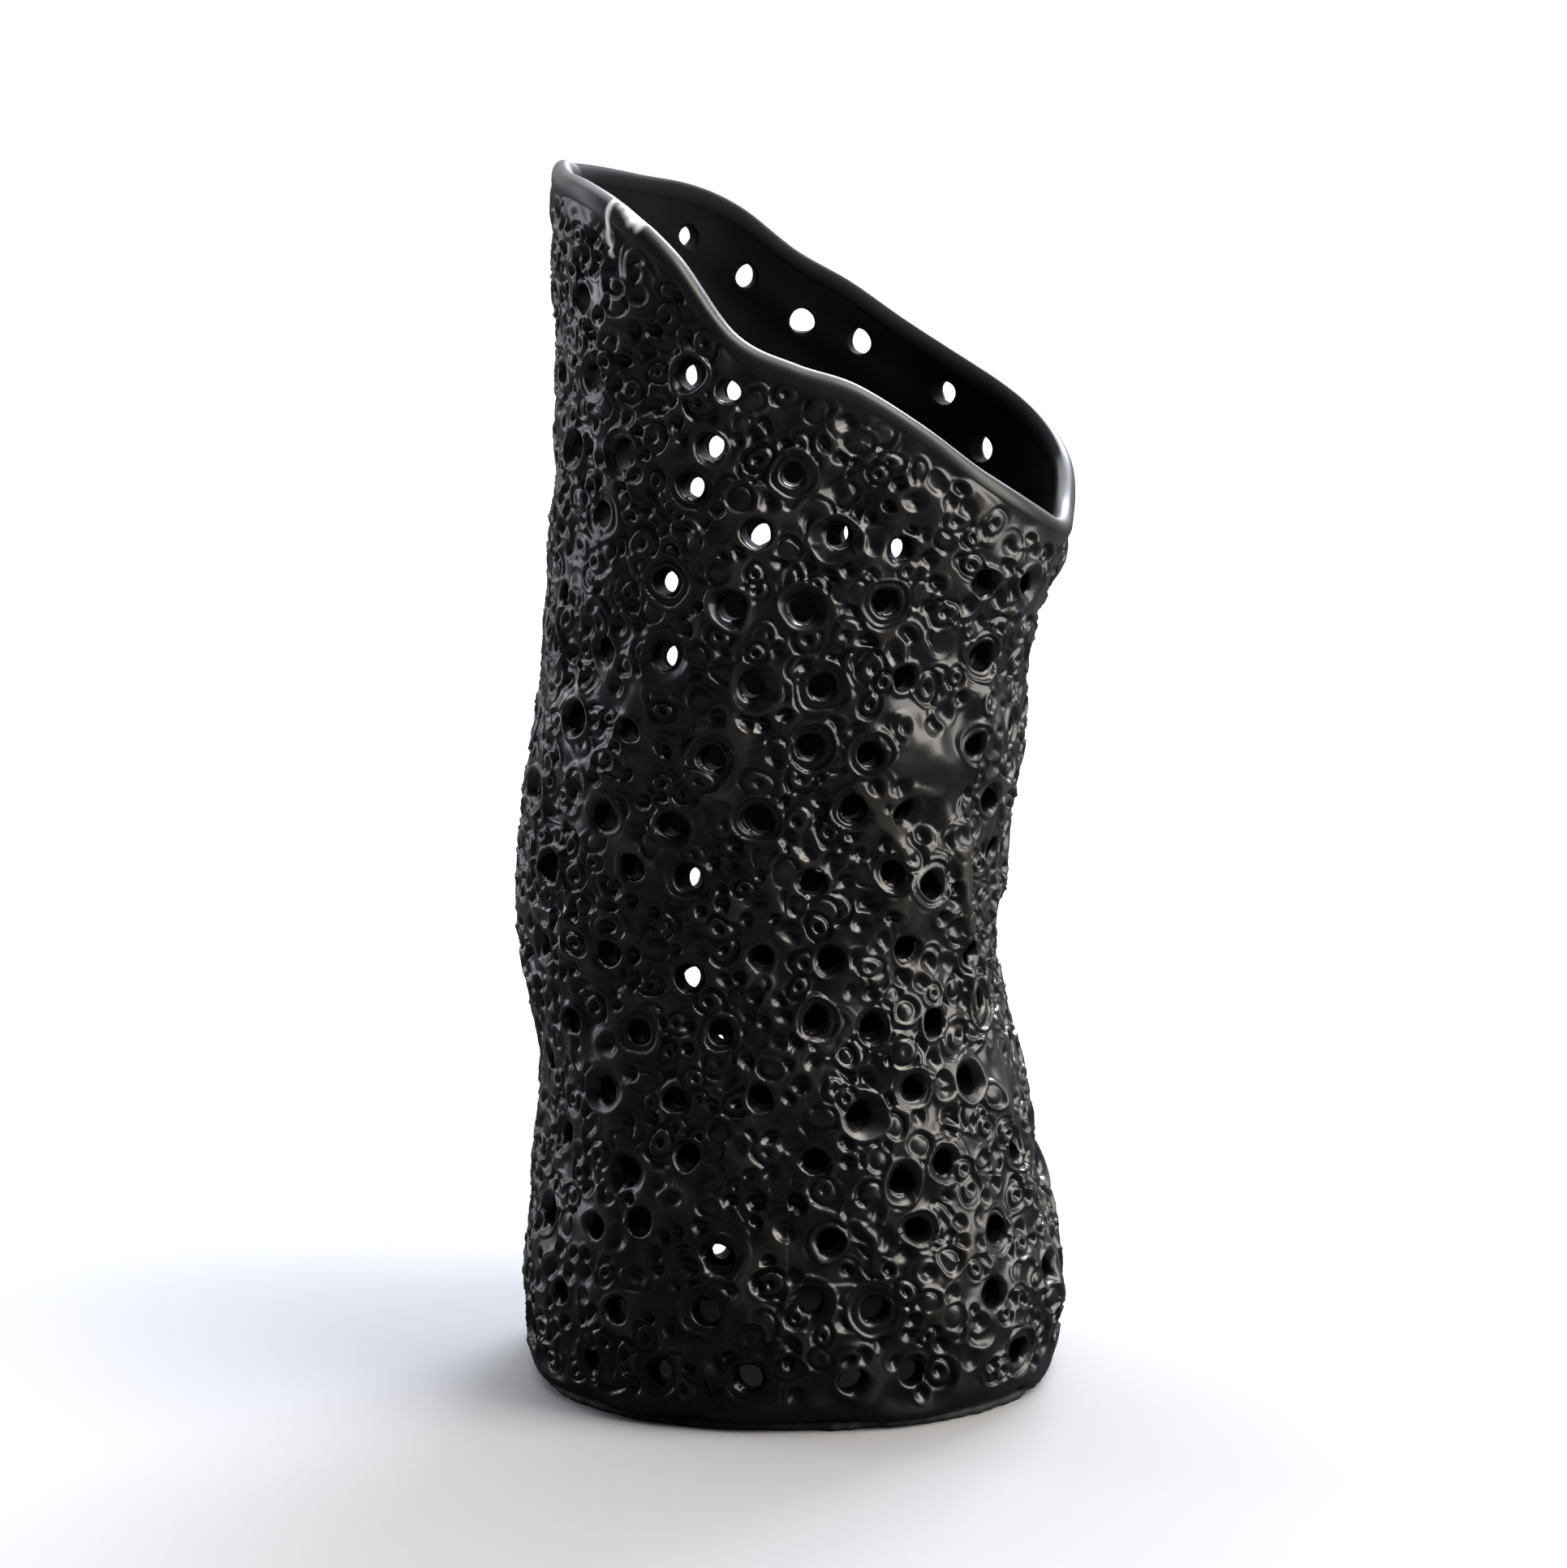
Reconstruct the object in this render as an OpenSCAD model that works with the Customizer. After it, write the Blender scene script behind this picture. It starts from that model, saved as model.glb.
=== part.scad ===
// A tall slab-built clay vase with a slanted mouth.
// The wall is punched right through all over, and it stands on a flat disc of clay.
// Millimetres, +Z up. The origin is on the table, in the middle of the vase's plan.

/* [Vase] */
// Height of the highest point of the rim, on the left
height = 290; // [270:5:310]
// Width as a percentage of the potted width
girth = 100; // [94:1:106]
// Thickness of the rolled slab
wall_t = 5; // [4:0.5:6]

/* [Mouth] */
// Height of the round lip above the top edge of the slab
lip_rise = 4; // [3:0.5:5]
// How far the lip bulges past each face of the slab
lip_swell = 0.6; // [0.2:0.1:1]

/* [Foot] */
// Thickness of the part of the floor slab that shows under the wall
foot_t = 2; // [1:0.5:3]
// How far the floor slab's edge stands back from the wall's lower edge
foot_recess = 1.4; // [0.5:0.1:2]
// Height of the floor inside the vase
floor_top = 5; // [4:0.5:6]
// Height of the coil in the corner between wall and floor
corner_top = 9; // [8:0.5:9.5]
// How far that coil reaches over the floor
corner_reach = 5; // [4:0.5:7]
// Radius of the rounding along the wall's lower edge
edge_round = 3; // [3:0.5:5]

/* [Holes] */
// Diameter of the narrowest punch
punch_d = 5.2; // [4.5:0.1:5.6]
// How much wider the widest hole is
punch_spread = 1.4; // [0:0.1:1.6]
// Holes in one turn of the wall
punches_round = 18; // [14:1:20]
// Height from one turn of holes to the next
punch_rise = 16.5; // [15:0.5:20]
// Height of the lowest turn of holes
punch_start = 13.5; // [13.5:0.5:16]

/* [Seam] */
// Thickness of the strip smeared over the seam
seam_t = 2; // [1:0.5:3]

/* [Smoothness] */
// Facets round the wall
around = 48; // [48:24:72]
// Rings of facets from the foot to the mouth
rings = 32; // [24:4:40]

/* [Hidden] */

// How far the wall stands out from the axis, every 25 mm up from the table, for a 290 mm vase
LEFT = [64, 65.5, 62, 61, 64.5, 65.5, 62.5, 59, 57.5, 56, 56, 56.5, 56.5];
RIGHT = [63, 64, 59, 54.5, 48, 49.5, 53, 55.5, 63.5, 70.5, 72, 73, 74];
FRONT = [59, 61, 60, 58, 55, 54, 55, 56, 56, 55, 54, 53, 52];
BACK = [58, 61, 59, 57, 55, 54, 54, 55, 56, 55, 53, 52, 51];
// Height of the rim every 15 degrees, from the right over the back to the left and the front
RIM_BACK = [210, 219, 228, 237, 247, 257, 264.5, 274, 280.5, 284, 286.5, 288.5];
RIM_FRONT = [290, 289, 288, 283, 273, 256, 249, 244, 235, 223, 214, 209];
RIM = concat(RIM_BACK, RIM_FRONT);
// Holes with a place of their own, as [angle, height]: six under the back lip, then pairs that
// face each other across the vase, so that light comes straight through
UNDER_LIP = [[121, 268], [104, 258], [88, 247], [72, 242], [51, 230], [41, 217]];
FACING = [
    [244, 246], [118, 234], [254, 243], [106, 230], [250, 230], [111, 216],
    [245, 221], [116, 206], [261, 211], [99, 194], [239, 199], [123, 183],
    [239, 182], [123, 165], [294, 207], [63, 191], [244, 130], [117, 109],
    [244, 107], [117, 83], [253, 42], [109, 12.5]
];
// Boxiness of the plan: 2 is an ellipse
SQUARE = 2.3;
// The wall's section is worked out on this grid
STEP = 25 * height / 290;
TURN = 360 / around;
// Clear distance from a scattered hole's centre to the rim, in front and at the back, and
// between a placed hole and the others
RIM_CLEAR = 14;
BACK_CLEAR = 36;
HOLE_CLEAR = 12;
// The seam strip covers two facets, on the right of the front
SEAM_COL = round(42 * around / 48);
CLAY = [0.10, 0.10, 0.11];

// Catmull-Rom curve through evenly spaced values
function blend(a, b, c, d, t) =
    b + 0.5 * t * (c - a + t * (2 * a - 5 * b + 4 * c - d + t * (3 * (b - c) + d - a)));
function held(list, i) = list[max(0, min(len(list) - 1, i))];
function up_table(list, x) =
    let (i = floor(x))
    blend(held(list, i - 1), held(list, i), held(list, i + 1), held(list, i + 2), x - i);
function looped(list, i) = list[(i + len(list)) % len(list)];
function round_table(list, x) =
    let (i = floor(x))
    blend(looped(list, i - 1), looped(list, i), looped(list, i + 1), looped(list, i + 2), x - i);

// The wall's outer face: its distance from the axis at angle a and height z
function body_r(a, z) =
    let (
        reach_x = up_table(cos(a) > 0 ? RIGHT : LEFT, z / STEP) * girth / 100,
        reach_y = up_table(sin(a) > 0 ? BACK : FRONT, z / STEP) * girth / 100
    )
    pow(pow(abs(cos(a)) / reach_x, SQUARE) + pow(abs(sin(a)) / reach_y, SQUARE), -1 / SQUARE);

// The lower edge of the wall is rounded under
function tuck(z) =
    let (u = max(0, (foot_t + 0.85 * edge_round - z) / edge_round))
    edge_round * (1 - sqrt(1 - u * u));

function rim_z(a) = round_table(RIM, a / 15) * height / 290;
function slab_top(a) = rim_z(a) - lip_rise;

// One point: angle a, height z, standing out from the wall's outer face by out
function at(a, z, out) =
    let (r = body_r(a, z) - tuck(z) + out)
    [r * cos(a), r * sin(a), z];
// One closed loop of points at a level height, or at a fraction of the way to the slanted top
function level_loop(z, out) = [for (j = [0:around - 1]) at(j * TURN, z, out)];
function slant_z(a, k) = corner_top + (slab_top(a) - corner_top) * k / rings;
function slant_loop(k, out) = [for (j = [0:around - 1]) at(j * TURN, slant_z(j * TURN, k), out)];
// The inner face keeps the slab's thickness and isn't rounded at the foot
function inner_level_loop(z) = [
    for (j = [0:around - 1])
        let (a = j * TURN, r = body_r(a, z) - wall_t)
        [r * cos(a), r * sin(a), z]
];

// Two triangles for each cell of a grid of points. Neighbouring pieces use the same
// diagonal, so they meet face to face.
function cell(p, q, r, s, flip) = flip ? [[p, r, q], [p, s, r]] : [[p, q, r], [p, r, s]];
function grid_faces(rows, cols, closed, flip) = [
    for (i = [0:rows - (closed ? 1 : 2)])
        for (j = [0:cols - 1])
            let (i2 = (i + 1) % rows, j2 = (j + 1) % cols)
            each cell(i * cols + j, i * cols + j2, i2 * cols + j2, i2 * cols + j, flip)
];
function joined(loops) = [for (loop = loops) each loop];

// A solid ring from loops that go once round its section
module ring_solid(loops, flip) {
    polyhedron(joined(loops), grid_faces(len(loops), len(loops[0]), true, flip), convexity = 8);
}

// A solid from a stack of loops, closed by a flat cap at each end
module stack_solid(loops, flip) {
    cols = len(loops[0]);
    last = (len(loops) - 1) * cols;
    first_cap = [for (j = [0:cols - 1]) flip ? j : cols - 1 - j];
    last_cap = [for (j = [0:cols - 1]) last + (flip ? cols - 1 - j : j)];
    faces = concat(grid_faces(len(loops), cols, false, flip), [first_cap, last_cap]);
    polyhedron(joined(loops), faces, convexity = 8);
}

// Evenly spread pseudo-random value from -0.5 to 0.5
function wander(k, s) =
    let (v = 0.618034 * k * k + s * k)
    v - floor(v) - 0.5;

// Distance between two holes, measured over the wall
function hole_gap(p, q) =
    let (turn = (p[0] - q[0] + 540) % 360 - 180)
    norm([turn * PI / 180 * 58, p[1] - q[1]]);
function is_clear(p, list) = min([for (q = list) hole_gap(p, q)]) > HOLE_CLEAR;

PLACED = [for (p = concat(UNDER_LIP, FACING)) [p[0], p[1] * height / 290]];
TURNS = floor((height - punch_start) / punch_rise);
// The other holes: staggered turns, each hole a little out of its place
SCATTERED = [
    for (turn = [0:TURNS])
        for (i = [0:punches_round - 1])
            let (
                k = turn * punches_round + i + 1,
                lift = turn == 0 ? 0.15 : 1,
                a = (i + 0.5 * (turn % 2) + 0.6 * wander(k, 0.31)) * 360 / punches_round + 360,
                z = punch_start + turn * punch_rise + lift * 7 * wander(k, 0.53),
                p = [a % 360, z],
                clear = sin(a) > 0.4 ? BACK_CLEAR : RIM_CLEAR
            )
            if (z < slab_top(a % 360) - clear + lip_rise && is_clear(p, PLACED)) p
];
HOLES = concat(PLACED, SCATTERED);

// One punch through the wall, square to the axis of the vase
module punch(p, d) {
    r = body_r(p[0], p[1]);
    rotate([0, 0, p[0]])
        translate([r - wall_t - seam_t - 3, 0, p[1]])
            rotate([0, 90, 0])
                cylinder(h = wall_t + seam_t + 8, d = d, $fn = 24);
}

module punches() {
    for (k = [0:len(HOLES) - 1])
        punch(HOLES[k], punch_d + punch_spread * (wander(k, 0.7) + 0.5));
}

// The slab, rolled into a tube and luted along its seam
module wall_slab() {
    foot_levels = [foot_t, foot_t + 1.2, floor_top];
    outer = concat(
        [for (z = foot_levels) level_loop(z, 0)],
        [for (k = [0:rings]) slant_loop(k, 0)]
    );
    inner = concat(
        [for (k = [rings:-1:0]) slant_loop(k, -wall_t)],
        [for (z = [floor_top, foot_t]) inner_level_loop(z)]
    );
    color(CLAY)
        difference() {
            ring_solid(concat(outer, inner), false);
            punches();
        }
}

// The disc of clay it stands on, with a step that fits up inside the wall
module floor_slab() {
    color(CLAY)
        stack_solid([
            inner_level_loop(floor_top),
            inner_level_loop(foot_t),
            level_loop(foot_t, -foot_recess),
            [for (p = level_loop(foot_t, -foot_recess - 0.3)) [p[0], p[1], 0]]
        ], false);
}

// The round lip, laid along the top edge of the slab
module rim_coil() {
    arch = [
        for (a = [15:22.5:172.5])
            let (
                out = -wall_t / 2 - (wall_t / 2 + lip_swell) * cos(a),
                rise = lip_rise * sin(a)
            )
            [for (p = slant_loop(rings, out)) p + [0, 0, rise]]
    ];
    foot = [slant_loop(rings, 0), slant_loop(rings, -wall_t)];
    color(CLAY) ring_solid(concat(foot, arch), true);
}

// The coil pressed into the corner between wall and floor
module floor_joint_coil() {
    color(CLAY)
        ring_solid([
            slant_loop(0, -wall_t),
            inner_level_loop(floor_top),
            [for (p = slant_loop(0, -wall_t - corner_reach)) [p[0], p[1], floor_top]],
            [for (p = slant_loop(0, -wall_t - corner_reach * 0.45)) p - [0, 0, 2.6]]
        ], true);
}

// The strip of clay smeared down the inside of the seam
module wall_seam_coil() {
    section = [
        for (k = [rings - 1:-1:1])
            let (
                face = slant_loop(k, -wall_t),
                ridge = slant_loop(k, -wall_t - seam_t)
            )
            [face[SEAM_COL], face[SEAM_COL + 1], face[SEAM_COL + 2], ridge[SEAM_COL + 1]]
    ];
    color(CLAY)
        difference() {
            stack_solid(section, true);
            punches();
        }
}

wall_slab();
floor_slab();
rim_coil();
floor_joint_coil();
wall_seam_coil();
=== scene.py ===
"""Looks of a tall slab-built vase of black clay: stamped and pierced wall, smooth slanted lip."""

import math

import bpy
import numpy as np
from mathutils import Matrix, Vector


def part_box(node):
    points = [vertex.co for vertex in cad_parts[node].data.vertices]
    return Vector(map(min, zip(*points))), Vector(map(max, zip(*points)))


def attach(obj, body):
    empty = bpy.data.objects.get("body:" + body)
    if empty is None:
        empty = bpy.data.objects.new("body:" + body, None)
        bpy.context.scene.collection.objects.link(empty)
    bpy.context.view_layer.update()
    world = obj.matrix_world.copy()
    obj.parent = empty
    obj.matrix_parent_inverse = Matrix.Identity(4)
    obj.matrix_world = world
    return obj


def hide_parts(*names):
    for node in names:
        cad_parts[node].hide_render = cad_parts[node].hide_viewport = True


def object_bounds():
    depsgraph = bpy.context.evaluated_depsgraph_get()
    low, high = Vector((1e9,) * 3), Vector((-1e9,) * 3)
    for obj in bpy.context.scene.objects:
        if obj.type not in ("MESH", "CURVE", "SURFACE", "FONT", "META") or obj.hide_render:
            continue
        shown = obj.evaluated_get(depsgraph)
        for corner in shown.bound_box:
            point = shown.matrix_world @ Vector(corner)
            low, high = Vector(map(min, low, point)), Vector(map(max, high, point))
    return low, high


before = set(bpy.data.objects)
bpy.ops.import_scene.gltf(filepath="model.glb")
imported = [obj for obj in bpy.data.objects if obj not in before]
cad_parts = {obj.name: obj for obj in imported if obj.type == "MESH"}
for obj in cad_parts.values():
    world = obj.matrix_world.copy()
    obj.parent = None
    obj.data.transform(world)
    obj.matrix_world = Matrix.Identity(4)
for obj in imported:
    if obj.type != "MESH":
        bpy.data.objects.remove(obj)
CAD_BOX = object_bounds()

MM = 0.001
TURN = 2 * math.pi
RNG = np.random.default_rng(41)

# ---------------------------------------------------------------- the potter's sizes, in mm

FLOOR_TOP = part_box("floor_slab")[1][2] / MM  # the floor's top, inside
CORNER_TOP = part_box("floor_joint_coil")[1][2] / MM  # the top of the coil in the corner
HEIGHT = CAD_BOX[1][2] / MM  # table to the highest point of the lip
WALL_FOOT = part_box("wall_slab")[0][2] / MM  # lower edge of the wall
WALL_T = 5.0  # thickness of the rolled slab
LIP_RISE = 4.0  # the lip's height above the slab's edge
LIP_SECTIONS = 20  # facets over the lip's round top
EDGE_ROUND = 3.0  # rounding along the lower edge
SLAB_SET_IN = 0.8  # how far the floor slab's edge sits inside the wall's foot

# How far the wall stands out from the axis, every 25 mm up: the same rule as the CAD wall
GRID_STEP = 25.0
LEFT = (64, 65.5, 62, 61, 64.5, 65.5, 62.5, 59, 57.5, 56, 56, 56.5, 56.5)
RIGHT = (63, 64, 59, 54.5, 48, 49.5, 53, 55.5, 63.5, 70.5, 72, 73, 74)
FRONT = (59, 61, 60, 58, 55, 54, 55, 56, 56, 55, 54, 53, 52)
BACK = (58, 61, 59, 57, 55, 54, 54, 55, 56, 55, 53, 52, 51)
# Rim height every 15 degrees, from the right over the back to the left and the front
RIM = (210, 219, 228, 237, 247, 257, 264.5, 274, 280.5, 284, 286.5, 288.5,
       290, 289, 288, 283, 273, 256, 249, 244, 235, 223, 214, 209)
SQUARENESS = 2.3

# Holes with a place of their own, as (angle, height)
UNDER_LIP = ((121, 268), (104, 258), (88, 247), (72, 242), (51, 230), (41, 217))
FACING = ((244, 246), (118, 234), (254, 243), (106, 230), (250, 230), (111, 216),
          (245, 221), (116, 206), (261, 211), (99, 194), (239, 199), (123, 183),
          (239, 182), (123, 165), (294, 207), (63, 191), (244, 130), (117, 109),
          (244, 107), (117, 83), (253, 42), (109, 12.5))
PUNCH_D, PUNCH_SPREAD = 5.2, 1.4
PUNCHES_ROUND = 18
PUNCH_RISE, PUNCH_START = 16.5, 13.5
RIM_CLEAR, BACK_CLEAR, HOLE_CLEAR = 14.0, 36.0, 12.0

# Mesh: cells round the wall and up it; the inside has half as many each way
AROUND = 960
UP = 640
HOLE_REACH = 9.0  # how far round a hole the mesh is looked at
EASED = 7.5  # how far round a hole its points are spread evenly again
EASE_ROUNDS = 14

# Radii that turn degrees into mm over the wall: for patterns, for marks and for paths
PATTERN_R, MARK_R, PATH_R = 58.0, 56.0, 55.0
CUP_PITCH = 5.7  # from one small cup to the next
CUP_ROW = 0.87 * CUP_PITCH  # from one row of cups to the next
# Up to what chance a hole gets raised rings, or a bowl; past both its edge stays plain
RINGED_TO, BOWLED_TO = 0.42, 0.58
# Up to what chance a small stamp is a pit, or a button; past both it is a tube's mark
PIT_TO, BUTTON_TO = 0.56, 0.79
# Below the first chance a stamp is then half wiped out, above the second it gains an arc
SMUDGED_TO, ARC_FROM = 0.14, 0.72
# Patches worked smooth with a thumb: (degrees, height, half width, half height)
SMOOTHED = (
    (264, 45, 24, 8), (256, 163, 18, 6), (304, 152, 20, 24), (283, 11, 40, 5),
    (318, 175, 12, 16), (330, 78, 14, 16), (228, 170, 10, 6), (300, 118, 10, 12),
    (60, 120, 20, 9), (150, 60, 18, 8),
)
# The crease where the slab's two ends lap: (degrees, height) from foot to lip
SEAM = ((344, 6), (341, 20), (334, 41), (329, 62), (321, 93), (314, 133), (318, 170), (330, 205))
SEAM_RISE, SEAM_WIDTH = 1.3, 3.2
# Where the crease notches the lower edge: degrees, half width and depth
NOTCH_AT, NOTCH_WIDTH, NOTCH_DEPTH = 327, 2.5, 1.5
# Thin ridges pushed up by hand: ((degrees, height) points, height of the ridge, half width)
RIDGES = (
    (((285, 152), (290, 146), (298, 136)), 2.0, 1.5),
    (((313, 134), (318, 112), (321, 93)), 1.4, 1.5),
    (((297, 152), (306, 149)), 0.8, 1.1),
    (((205, 190), (203, 150), (208, 95)), 0.9, 2.0),
    (((252, 160), (262, 163)), 0.6, 0.9),
    (((274, 55), (284, 51), (288, 46)), 0.8, 0.8),
    (((256, 54), (259, 48)), 0.7, 0.7),
    (((332, 60), (335, 45), (343, 28)), 0.9, 1.4),
)
DEEPEST, HIGHEST = -2.4, 1.1  # limits of the stamped relief
BARE = -3.0  # the relief value that marks clay with no glaze on it, inside the vase; the glaze's colour ramp paints it the darkest black, a painted shade
# Glaze that ran over the lip, left of the front, where a pale painted highlight lies on it:
# (degrees, height)
BLOB = ((219, 289), (224, 286.5), (230, 280))
RUN = ((223, 287), (222, 279), (223, 272))
# Slow bulges and dents of the wall: (degrees, height, radius, how far out)
BULGES = (
    (352, 183, 11, -2.6), (352, 198, 9, 1.3), (301, 143, 6, -3.6), (293, 158, 9, 1.8),
    (309, 120, 8, 2.0), (307, 157, 7, 1.8), (316, 148, 6, -1.6), (298, 128, 7, 1.6),
    (303, 172, 8, -1.5), (290, 133, 7, -1.2), (193, 80, 14, -1.6), (345, 52, 12, -1.4),
    (340, 30, 13, 1.2), (300, 28, 11, 1.1), (285, 120, 12, -1.0), (230, 150, 16, 1.2),
    (240, 95, 14, -1.0), (325, 160, 10, 1.5), (312, 182, 11, -1.2),
)
# The four sides of a cell of the mesh: (row step, column step, the side's two corners)
SIDES = ((-1, 0, (0, 0), (0, 1)), (0, 1, (0, 1), (1, 1)),
         (1, 0, (1, 1), (1, 0)), (0, -1, (1, 0), (0, 0)))


# ---------------------------------------------------------------- shape rules


def blend(a, b, c, d, t):
    """Catmull-Rom curve from b to c."""
    return b + 0.5 * t * (c - a + t * (2 * a - 5 * b + 4 * c - d + t * (3 * (b - c) + d - a)))


def turned(angle, start):
    """The turn from start to angle, within half a turn either way."""
    return (angle - start + math.pi) % TURN - math.pi


def up_table(values, x):
    """Smooth curve through evenly spaced values, held at its ends."""
    v = np.asarray(values, float)
    i = np.floor(x).astype(int)
    pick = lambda k: v[np.clip(k, 0, len(v) - 1)]
    return blend(pick(i - 1), pick(i), pick(i + 1), pick(i + 2), x - i)


def round_table(values, x):
    """Smooth curve through evenly spaced values that closes up."""
    v = np.asarray(values, float)
    i = np.floor(x).astype(int)
    pick = lambda k: v[np.mod(k, len(v))]
    return blend(pick(i - 1), pick(i), pick(i + 1), pick(i + 2), x - i)


def body_r(angle, z):
    """Distance of the wall's outer face from the axis."""
    c, s = np.cos(angle), np.sin(angle)
    x = z / GRID_STEP
    reach_x = np.where(c > 0, up_table(RIGHT, x), up_table(LEFT, x))
    reach_y = np.where(s > 0, up_table(BACK, x), up_table(FRONT, x))
    n = SQUARENESS
    return ((np.abs(c) / reach_x) ** n + (np.abs(s) / reach_y) ** n) ** (-1 / n)


def tuck(z):
    """How far the rounded lower edge draws in."""
    u = np.clip((WALL_FOOT + 0.85 * EDGE_ROUND - z) / EDGE_ROUND, 0, 1)
    return EDGE_ROUND * (1 - np.sqrt(1 - u * u))


def slab_top(angle):
    """Height of the slab's upper edge, under the lip."""
    return round_table(RIM, np.degrees(angle) / 15) - LIP_RISE


def wander(k, s):
    """A step from -0.5 to 0.5 that looks random and is the same each time."""
    v = 0.618034 * k * k + s * k
    return v - math.floor(v) - 0.5


def hole_gap(p, q):
    """Distance over the wall between two places, as (degrees, height)."""
    turn = (p[0] - q[0] + 540) % 360 - 180
    return math.hypot(math.radians(turn) * PATTERN_R, p[1] - q[1])


def hole_places():
    """Every punched hole as (angle in radians, height, radius), by the CAD's own rule."""
    placed = list(UNDER_LIP + FACING)
    scattered = []
    for turn in range(int((HEIGHT - PUNCH_START) // PUNCH_RISE) + 1):
        for i in range(PUNCHES_ROUND):
            k = turn * PUNCHES_ROUND + i + 1
            lift = 0.15 if turn == 0 else 1  # the lowest row keeps clear of the foot
            step = i + 0.5 * (turn % 2) + 0.6 * wander(k, 0.31)
            a = (step * 360 / PUNCHES_ROUND + 360) % 360
            z = PUNCH_START + turn * PUNCH_RISE + lift * 7 * wander(k, 0.53)
            top = float(slab_top(np.radians(a)))
            clear = min(hole_gap((a, z), q) for q in placed) > HOLE_CLEAR
            below = BACK_CLEAR if math.sin(math.radians(a)) > 0.4 else RIM_CLEAR
            if z < top - below + LIP_RISE and clear:
                scattered.append((a, z))
    holes = []
    for k, (a, z) in enumerate(placed + scattered):
        d = PUNCH_D + PUNCH_SPREAD * (wander(k, 0.7) + 0.5)
        holes.append((math.radians(a), float(z), d / 2))
    return holes


def smooth_noise(angle, z, size, seed):
    """Soft waves about size mm across, from -1 to 1, that close up round the vase."""
    rng = np.random.default_rng(seed)
    out = np.zeros(np.broadcast(angle, z).shape)
    turns = max(1, round(TURN * PATTERN_R / size))
    for _ in range(7):
        m = rng.integers(max(1, turns // 2), turns + 2)
        f = rng.uniform(-1, 1) * TURN / size * 1.2
        out += np.sin(m * angle + f * z + rng.uniform(0, 6.28)) * rng.uniform(0.5, 1)
    return out / 2.6  # seven such waves seldom add up to more


# ---------------------------------------------------------------- the stamped relief


def outline_points(cells):
    """Rows and columns of the fine points round the outside of a group of coarse cells."""
    ring = set()
    for ci, cj in cells:
        for di, dj, p, q in SIDES:
            if (ci + di, (cj + dj) % (AROUND // 2)) not in cells:
                for row, col in ((2 * p[0], 2 * p[1]), (p[0] + q[0], p[1] + q[1]),
                                 (2 * q[0], 2 * q[1])):
                    ring.add((2 * ci + row, (2 * cj + col) % AROUND))
    return np.array(sorted(ring)).T


def spread_evenly(angle, z, move):
    """Moves the marked points towards the middle of their neighbours, round by round."""
    for _ in range(EASE_ROUNDS):
        for grid in (angle, z):
            left, right = np.roll(grid, 1, 1), np.roll(grid, -1, 1)
            if grid is angle:
                left = left - np.round((left - grid) / TURN) * TURN
                right = right - np.round((right - grid) / TURN) * TURN
            mean = grid.copy()
            mean[1:-1] = (grid[:-2] + grid[2:] + left[1:-1] + right[1:-1]) / 4
            grid[move] = mean[move]


def relaxed_grid(holes):
    """Angle and height of every grid point, with the points round each hole moved on to its
    edge, and the coarse cells that each hole takes away."""
    turn = np.arange(AROUND) * TURN / AROUND
    share = np.linspace(0, 1, UP + 1)[:, None]
    angle = np.repeat(turn[None, :], UP + 1, 0)
    z = WALL_FOOT + (slab_top(turn)[None, :] - WALL_FOOT) * share
    gone = np.zeros((UP // 2, AROUND // 2), bool)
    held = np.zeros(z.shape, bool)
    held[0] = held[-1] = True
    near = np.zeros(z.shape, bool)
    cuts = []
    for a, h, r in holes:
        r_here = float(body_r(a, h))
        rows, cols = patch(a, h, HOLE_REACH)
        fine = np.ix_(rows, cols)
        near[fine] |= np.hypot(turned(angle[fine], a) * r_here, z[fine] - h) < EASED
        crow, ccol = np.unique(rows[:-1] // 2), np.unique(cols // 2)
        crow = crow[crow < UP // 2]
        middles = np.ix_(2 * crow + 1, 2 * ccol + 1)
        cut = np.hypot(turned(angle[middles], a) * r_here, z[middles] - h) < r
        gone[np.ix_(crow, ccol)] |= cut
        i, j = np.nonzero(cut)
        cuts.append((a, h, r, r_here, set(zip(crow[i].tolist(), ccol[j].tolist()))))
    for a, h, r, r_here, cells in cuts:
        i, j = outline_points(cells)
        x, y = turned(angle[i, j], a) * r_here, z[i, j] - h
        phi = np.arctan2(y, x)
        # No punched hole is quite round
        edge = r * (1 + 0.05 * np.sin(2 * phi + 9 * a) + 0.03 * np.sin(3 * phi + 5 * h))
        moved = a + edge * np.cos(phi) / r_here
        angle[i, j] = moved + np.round((angle[i, j] - moved) / TURN) * TURN
        z[i, j] = h + edge * np.sin(phi)
        held[i, j] = True
    spread_evenly(angle, z, near & ~held)
    return angle, z, gone


def patch(a, h, reach):
    """Rows and columns of the grid within reach mm of a point on the wall."""
    tall = float(slab_top(a)) - WALL_FOOT
    row = (h - WALL_FOOT) / tall * UP
    span = int(reach / (tall / UP)) + 4
    col = a / TURN * AROUND
    wide = int(reach / (TURN * float(body_r(a, h)) / AROUND)) + 2
    rows = np.arange(max(0, int(row) - span), min(UP, int(row) + span) + 1)
    cols = np.arange(int(col) - wide, int(col) + wide + 1) % AROUND
    return rows, cols


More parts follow.
